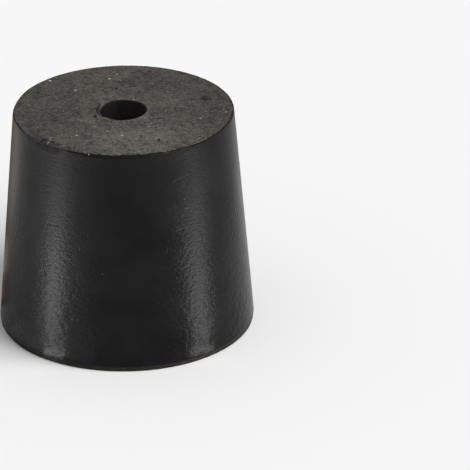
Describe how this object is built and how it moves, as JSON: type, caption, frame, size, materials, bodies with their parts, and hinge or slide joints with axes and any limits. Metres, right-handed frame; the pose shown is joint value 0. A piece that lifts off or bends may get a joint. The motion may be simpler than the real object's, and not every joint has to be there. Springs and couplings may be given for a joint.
{
  "type": "rubber stopper",
  "caption": "Tapered black rubber stopper with one straight hole, which plugs a flask's or tube's neck round a glass tube or thermometer.",
  "frame": {"origin": "centre of the large end's flat face, on the surface that the stopper stands on", "axes": "+Z along the hole, from the large end to the small end; X and Y are alike, because the stopper is round"},
  "size_m": [0.028, 0.028, 0.0248],
  "materials": {
    "black_rubber": "satin moulded side, matt grey-black ground end faces"
  },
  "bodies": {
    "root": {"stopper": "black_rubber"}
  },
  "joints": []
}
